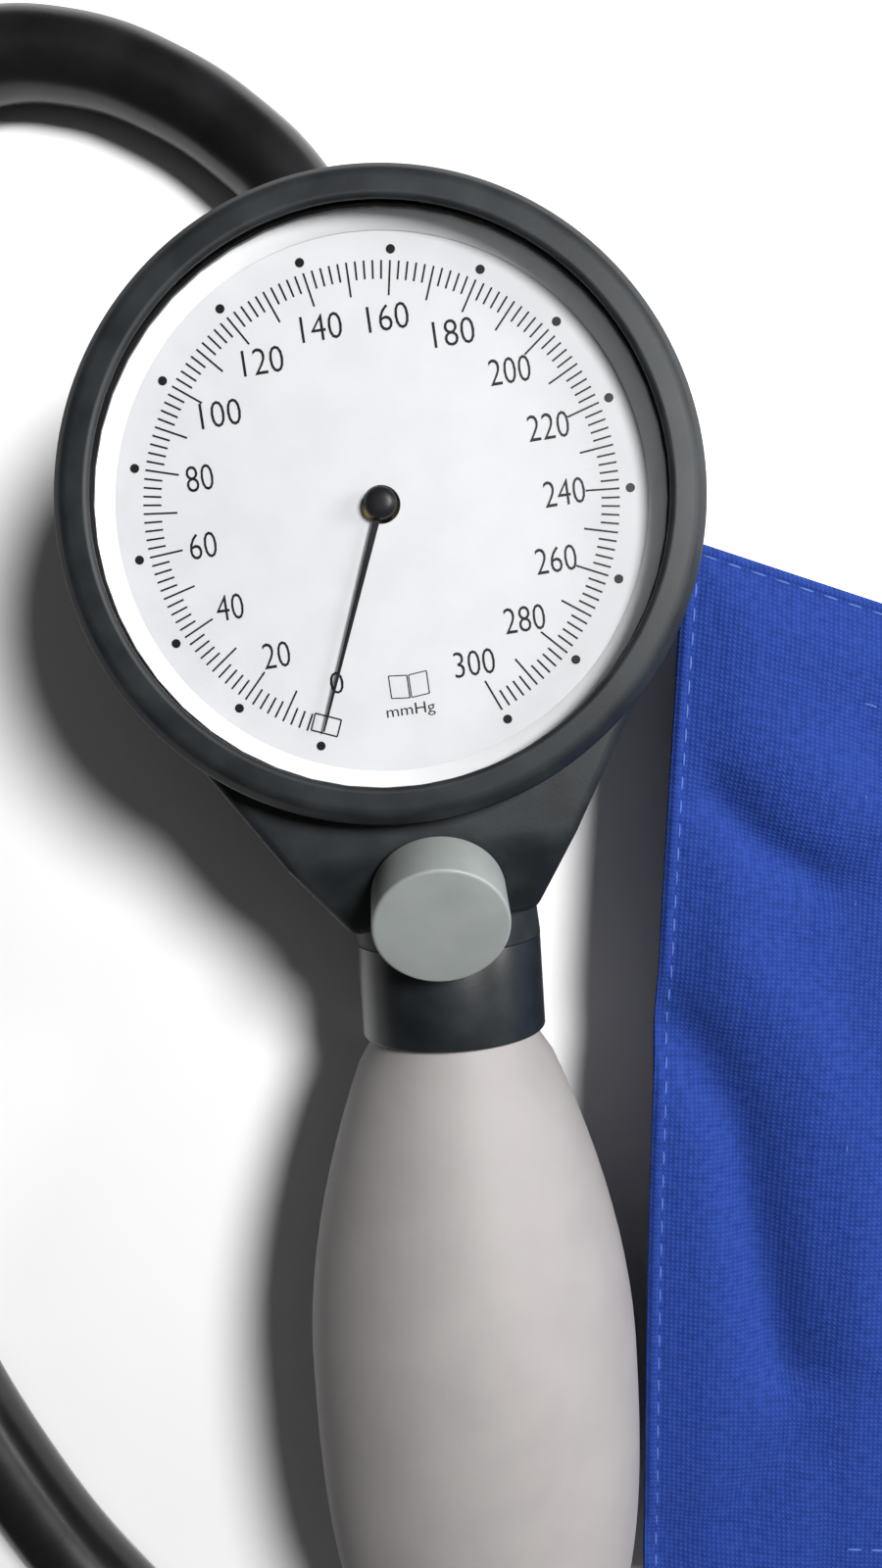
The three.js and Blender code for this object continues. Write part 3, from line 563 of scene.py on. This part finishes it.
turned("squeeze_bulb", bulbProfile(), "bulb_rubber", ["bulb"], place=gripPlace, steps=144)
cap = bulbEnd - bulb["cut"]
capCorners = [(1.5, cap - 9), (5, cap - 9), (5, cap + 0.2), (6.6, cap + 0.2), (6.6, cap + 1.4),
    (3.2, cap + 1.4), (3.2, cap - 4.7), (1.5, cap - 4.7)]
turned("end_fitting", rounded(capCorners, 0.4, 3), "steel", ["inlet_valve_body"], place=gripPlace, steps=64)
nippleOut = (math.cos(math.radians(115)), math.sin(math.radians(115)), 0)
nippleCorners = [(1.5, 4.5), (3.3, 4.5), (3.3, 14.1), (5.7, 14.1), (5.7, 15.7), (1.5, 15.7)]
turned("nipple", rounded(nippleCorners, 0.4, 3), "black_plastic", ["hose_nipple"],
    place=facing(nippleOut, 6, 20.5, 8), steps=64)
print("round pieces done")

# Print on the dial


def inkBar():  # one short stroke, 1 mm square, its long side to be stretched
    deselect()
    bpy.ops.mesh.primitive_plane_add(size=1)
    obj = bpy.context.object
    bpy.ops.object.mode_set(mode="EDIT")
    bpy.ops.mesh.select_all(action="SELECT")
    bpy.ops.mesh.extrude_region_move(TRANSFORM_OT_translate={"value": (0, 0, 1)})
    bpy.ops.mesh.select_all(action="SELECT")
    bpy.ops.mesh.normals_make_consistent(inside=False)
    bpy.ops.object.mode_set(mode="OBJECT")
    return obj


def copied(source, places):
    copies = []
    for place in places:
        twin = source.copy()
        twin.data = source.data.copy()
        twin.matrix_world = place
        bpy.context.collection.objects.link(twin)
        copies.append(twin)
    bpy.data.objects.remove(source, do_unlink=True)
    return copies


def strokePlace(start, end, width):  # lies on the dial between two points, in millimetres
    a, b = Vector((*start, 0)), Vector((*end, 0))
    line = b - a
    turn = math.atan2(line.y, line.x)
    middle = (a + b) / 2
    size = Matrix.Diagonal((line.length * mm, width * mm, dialPrint["ink"] * mm, 1))
    lift = Vector((gauge.x, gauge.y, dialTop + 0.00001))
    return Matrix.Translation(lift + middle * mm) @ Matrix.Rotation(turn, 4, "Z") @ size


dialPrint = {
    "top": 300, "span": 315, "zero": -112.5, "ink": 0.03, "tick": 0.21,
    "outer": 27.16, "inner": 25.1, "innerTen": 23.3, "dots": 28.4, "dot": 0.52,
    "figures": 20.9, "figureHeight": 2.95, "digit": 1.66,
}


def dialAngle(value):
    return math.radians(dialPrint["zero"] - value * dialPrint["span"] / dialPrint["top"])


def around(radius, angle):
    return radius * math.cos(angle), radius * math.sin(angle)


def writing(text, centre, height, width, thin=0.0):
    deselect()
    bpy.ops.object.text_add()
    obj = bpy.context.object
    obj.data.body = text
    obj.data.align_x, obj.data.align_y = "CENTER", "CENTER"
    obj.data.resolution_u = 3
    obj.data.offset = thin
    bpy.ops.object.convert(target="MESH")
    xs = [point.co.x for point in obj.data.vertices]
    ys = [point.co.y for point in obj.data.vertices]
    wide, tall = max(xs) - min(xs), max(ys) - min(ys)
    middle = Vector(((max(xs) + min(xs)) / 2, (max(ys) + min(ys)) / 2, 0))
    size = Matrix.Diagonal((width / wide * mm, height / tall * mm, 1, 1))
    lift = Vector((gauge.x, gauge.y, dialTop + 0.00004))
    place = Matrix.Translation(lift + Vector((*centre, 0)) * mm)
    obj.matrix_world = place @ size @ Matrix.Translation(-middle)
    return obj


def printDial():
    strokes = []
    for value in range(0, dialPrint["top"] + 1, 2):
        inner = dialPrint["innerTen"] if value % 10 == 0 else dialPrint["inner"]
        if value <= 2:
            continue
        turn = dialAngle(value)
        strokes.append((around(inner, turn), around(dialPrint["outer"], turn), dialPrint["tick"]))
    turn = dialAngle(0)
    across = Vector(around(1, turn + math.pi / 2))
    out = Vector(around(1, turn))
    centre = out * 25.9
    box = [centre + across * a + out * b for a, b in ((-1.55, -1), (1.55, -1), (1.55, 1), (-1.55, 1))]
    for start, end in zip(box, box[1:] + box[:1]):
        strokes.append((start, end, 0.17))
    book = [(-2.2, -19.4), (-0.1, -19.6), (-0.1, -22.2), (-2.2, -22)]
    for side in (1, -1):
        page = [(0.2 + side * x, y) for x, y in book]
        for start, end in zip(page, page[1:] + page[:1]):
            strokes.append((start, end, 0.12))
    places = [strokePlace(*stroke) for stroke in strokes]
    pieces = copied(inkBar(), places)
    deselect()
    bpy.ops.mesh.primitive_circle_add(vertices=24, radius=dialPrint["dot"] * mm, fill_type="NGON")
    dotPlaces = []
    for value in range(0, dialPrint["top"] + 1, 20):
        x, y = around(dialPrint["dots"], dialAngle(value))
        lift = Vector((gauge.x, gauge.y, dialTop + 0.00004))
        dotPlaces.append(Matrix.Translation(lift + Vector((x, y, 0)) * mm))
    pieces += copied(bpy.context.object, dotPlaces)
    for value in range(0, dialPrint["top"] + 1, 20):
        figure = str(value)
        centre = around(dialPrint["figures"], dialAngle(value))
        width = dialPrint["digit"] * len(figure) * 0.94
        height = dialPrint["figureHeight"] * (0.85 if value == 0 else 1)
        pieces.append(writing(figure, centre, height, width, -0.009))
    pieces.append(writing("mmHg", (0, -23.7), 1.7, 5.6, -0.004))
    choose(*pieces)
    bpy.ops.object.join()
    settle(pieces[0], "dial_print", "ink_black")


printDial()
print("dial printed")

# Cuff: two layers of cloth round a flat bladder, rolled flat into four layers

cuff = {
    "corner": (37.3, -7), "turn": -9.7, "width": 145, "half": 2.4, "stitchPitch": 3.1,
    "layers": (2.4, 8.6, 14.8, 22.5), "start": 18, "left": 10.6, "right": 122.55,
    "hem": 0.5, "seam": 1.5, "patchLine": 24, "skew": 0.3, "bow": 1.5,
}
cuffPlace = upright @ Matrix.Translation(Vector((*cuff["corner"], 0)) * mm) @ Matrix.Rotation(
    math.radians(cuff["turn"]), 4, "Z"
)
dents = [  # valleys pressed into the top layer: points, width, depth
    ([(7, -32), (12, -37), (19, -40)], 3.6, 2.5),
    ([(0, -62), (6, -66), (11, -76), (14, -90), (18, -108)], 4.0, 3.0),
    ([(20, -118), (12, -128), (2, -134)], 4.0, 1.3),
    ([(34, -20), (46, -44), (52, -70)], 8.0, 1.5),
    ([(80, -30), (92, -70), (88, -118)], 9.0, 1.6),
]
ridges = [([(10, -52), (20, -66), (25, -80), (28, -104)], 4.5, 1.2), ([(14, -24), (34, -34)], 5.0, 0.9)]


def smooth(x):
    x = min(max(x, 0.0), 1.0)
    return x * x * (3 - 2 * x)


def rollPath():  # the middle of the cuff, from its inner end to the free end on top, with outward normals
    one, two, three, four = cuff["layers"]

    def arc(x, low, high, start, end):
        radius = abs(high - low) / 2
        count = max(8, int(radius * math.pi / 1.2))
        for step in range(count + 1):
            turn = math.radians(start + (end - start) * step / count)
            out = Vector((math.cos(turn), math.sin(turn)))
            yield Vector((x, (low + high) / 2)) + out * radius, out

    points = [(Vector((cuff["start"], two)), Vector((0, -1)))]
    points += arc(cuff["right"], two, three, -90, 90)
    points += arc(cuff["left"], one, three, 90, 270)
    points += arc(cuff["right"], one, four, -90, 90)
    points.append((Vector((0, four)), Vector((0, 1))))
    return points


path = rollPath()
reach = [0.0]
for (a, _), (b, _) in zip(path, path[1:]):
    reach.append(reach[-1] + (b - a).length)
cuffLength = reach[-1]


def onPath(distance):
    for index in range(1, len(reach)):
        if distance <= reach[index] or index == len(reach) - 1:
            share = (distance - reach[index - 1]) / max(reach[index] - reach[index - 1], 1e-9)
            (a, outA), (b, outB) = path[index - 1], path[index]
            return a.lerp(b, share), outA.lerp(outB, share).normalized()


def nearLine(points, x, y):
    best = 1e9
    place = Vector((x, y))
    for a, b in zip(points, points[1:]):
        a, b = Vector(a), Vector(b)
        share = min(max((place - a).dot(b - a) / (b - a).length_squared, 0), 1)
        best = min(best, (place - a.lerp(b, share)).length)
    return best


def cuffPoint(along, across):  # middle of the cloth, its outward side and its half thickness
    middle, out = onPath(along)
    edge = min(across, cuff["width"] - across, along, cuffLength - along)
    half = cuff["hem"] + 0.6 * smooth(edge / 0.8)
    half -= 0.3 * math.exp(-(((edge - cuff["seam"]) / 0.55) ** 2))
    half += (cuff["half"] - cuff["hem"] - 0.6) * smooth((edge - 2) / 7)
    top = smooth((along - (cuffLength - 110)) / 30)
    x, y = middle.x, -across
    rise = noise.noise(Vector((along / 26, across / 30, 3.1))) * 0.45 * smooth(edge / 12)
    if top > 0:
        x = cuffLength - along
        press = sum(depth * math.exp(-((nearLine(line, x, y) / width) ** 2)) for line, width, depth in dents)
        lift = sum(depth * math.exp(-((nearLine(line, x, y) / width) ** 2)) for line, width, depth in ridges)
        seam = 0.45 * math.exp(-(((x - cuff["patchLine"]) / 1.1) ** 2)) * smooth((across - 13) / 2)
        rise += top * (lift * smooth(edge / 6) - press - seam)
        bow = cuff["bow"] * math.sin(math.pi * across / cuff["width"])
        middle = middle + Vector((-bow * top * smooth(1 - x / 60), 0))
    skewed = cuff["skew"] * max(min(x, 30), 0) * (1 - smooth((x - 50) / 60))
    y -= skewed * (1 - smooth(across / 75))
    half = max(half + rise / 2, 0.5)
    middle = middle + out * rise / 2
    return Vector((middle.x, y, middle.y)), Vector((out.x, 0, out.y)), half


def stops(total, step):  # finer towards both hems
    near = [0, 0.25, 0.55, 0.9, 1.3, 1.8, 2.6, 3.8, 5.4, 7.4]
    count = int((total - 2 * near[-1]) / step)
    middle = [near[-1] + (total - 2 * near[-1]) * k / count for k in range(1, count)]
    return near + middle + [total - value for value in reversed(near)]


def makeCuff():
    lengthwise, crosswise = stops(cuffLength, 2.0), stops(cuff["width"], 2.2)
    deselect()
    bpy.ops.mesh.primitive_grid_add(
        x_subdivisions=len(lengthwise) - 1, y_subdivisions=len(crosswise) - 1, size=1, calc_uvs=True
    )
    obj = bpy.context.object
    mesh = obj.data
    padding = obj.vertex_groups.new(name="padding")
    full = 2 * cuff["half"] * 1.25
    for vertex in mesh.vertices:
        column = round((vertex.co.x + 0.5) * (len(lengthwise) - 1))
        row = round((0.5 - vertex.co.y) * (len(crosswise) - 1))
        place, _, half = cuffPoint(lengthwise[column], crosswise[row])
        vertex.co = place * mm
        padding.add([vertex.index], min(2 * half / full, 1), "REPLACE")
    flat = mesh.uv_layers[0]
    flat.name = "flat"
    for corner in flat.data:
        column = round(corner.uv.x * (len(lengthwise) - 1))
        row = round((1 - corner.uv.y) * (len(crosswise) - 1))
        corner.uv = (lengthwise[column], crosswise[row])
    obj.matrix_world = cuffPlace
    choose(obj)
    bpy.ops.object.transform_apply(location=True, rotation=True, scale=True)
    thick = obj.modifiers.new("thick", "SOLIDIFY")
    thick.thickness = full * mm
    thick.offset = 0
    thick.vertex_group = "padding"
    thick.use_even_offset = False
    bpy.ops.object.modifier_apply(modifier="thick")
    settle(obj, "rolled_cuff", "blue_cloth", ["cuff_outer_cloth", "cuff_inner_cloth", "bladder"], smooth=60)
    return obj


def stitchPlaces():
    runs = []
    across = 3.0
    while across < cuff["width"] - 3:
        runs.append((cuffLength - cuff["seam"], across, "y"))
        if across > 15 and across < cuff["width"] - 12:
            runs.append((cuffLength - cuff["patchLine"], across, "y"))
        across += cuff["stitchPitch"]
    for row in (cuff["seam"], cuff["width"] - cuff["seam"]):
        x = 3.0
        while x < 118:
            runs.append((cuffLength - x, row, "x"))
            x += cuff["stitchPitch"]
    x = cuff["patchLine"]
    while x < 82:
        runs.append((cuffLength - x, cuff["width"] - 13, "x"))
        runs.append((cuffLength - x, 14, "x"))
        x += cuff["stitchPitch"]
    places = []
    for along, row, way in runs:
        place, out, half = cuffPoint(along, row)
        ahead = cuffPoint(along - 1 if way == "x" else along, row if way == "x" else row + 1)[0]
        line = (ahead - place).normalized()
        side = out.cross(line).normalized()
        lie = Matrix((line, side, out)).transposed().to_4x4()
        places.append(cuffPlace @ Matrix.Translation((place + out * (half + 0.02)) * mm) @ lie)
    return places


def stitchCuff():
    deselect()
    bpy.ops.mesh.primitive_ico_sphere_add(subdivisions=2, radius=1)
    stitch = bpy.context.object
    bpy.ops.object.mode_set(mode="EDIT")
    bpy.ops.mesh.select_all(action="SELECT")
    bpy.ops.transform.resize(value=(1.05 * mm, 0.17 * mm, 0.14 * mm), center_override=(0, 0, 0))
    bpy.ops.object.mode_set(mode="OBJECT")
    pieces = copied(stitch, stitchPlaces())
    choose(*pieces)
    bpy.ops.object.join()
    return settle(pieces[0], "cuff_stitches", "thread", smooth=60)


rolled = makeCuff()
stitches = stitchCuff()
portPlace = (
    cuffPlace @ Matrix.Translation(Vector((70, -145.3, 8.6)) * mm) @ Matrix.Rotation(math.pi / 2, 4, "X")
)
portCorners = [(1.5, 0), (4, 0), (4, 1.5), (5.7, 1.5), (5.7, 9), (1.5, 9)]
turned("hose_port", rounded(portCorners, 0.4, 3), "black_rubber", ["bladder_port"], place=portPlace, steps=64)
print("cuff done")

# Table, lights and air

stage = {
    "floor": (0.88, 0.88, 0.88), "key": (0.29, 0.1, 0.57), "keySize": 0.17, "keyPower": 6.0,
    "fill": (0.1, 0.1, 0.9), "fillSize": 0.9, "fillPower": 0.35, "air": 0.03,
    "side": (0.6, 0.02, 0.3), "sideSize": 0.24, "sidePower": 2.6,
}


def softBox(name, place, size, power):
    bpy.ops.object.light_add(type="AREA", location=place)
    light = bpy.context.object
    light.name = name
    light.data.shape = "DISK"
    light.data.size = size
    light.data.energy = power
    aim = gauge + Vector((0.01, -0.02, 0.02)) - Vector(place)
    light.rotation_euler = aim.to_track_quat("-Z", "Y").to_euler()
    return light


def makeStage():
    deselect()
    bpy.ops.mesh.primitive_grid_add(x_subdivisions=4, y_subdivisions=4, size=6)
    floor = bpy.context.object
    floor.name = "table_top"
    material, tree, shader = newMaterial("table_paint")
    speck = grain(tree, shader, 400, 0.55, 0.7, 0.00001)
    mottle(tree, shader, speck, stage["floor"], tuple(part * 1.02 for part in stage["floor"]))
    floor.data.materials.append(material)
    key = softBox("key_light", gauge + Vector(stage["key"]), stage["keySize"], stage["keyPower"])
    fill = softBox("fill_light", gauge + Vector(stage["fill"]), stage["fillSize"], stage["fillPower"])
    side = softBox("side_light", gauge + Vector(stage["side"]), stage["sideSize"], stage["sidePower"])
    world = bpy.data.worlds.new("studio")
    world.use_nodes = True
    world.node_tree.nodes["Background"].inputs["Color"].default_value = (1, 1, 1, 1)
    world.node_tree.nodes["Background"].inputs["Strength"].default_value = stage["air"]
    bpy.context.scene.world = world
    bpy.context.scene.view_settings.view_transform = "Standard"
    return floor


floor = makeStage()
print(f"cuff {cuffLength:.0f} mm long when opened out")
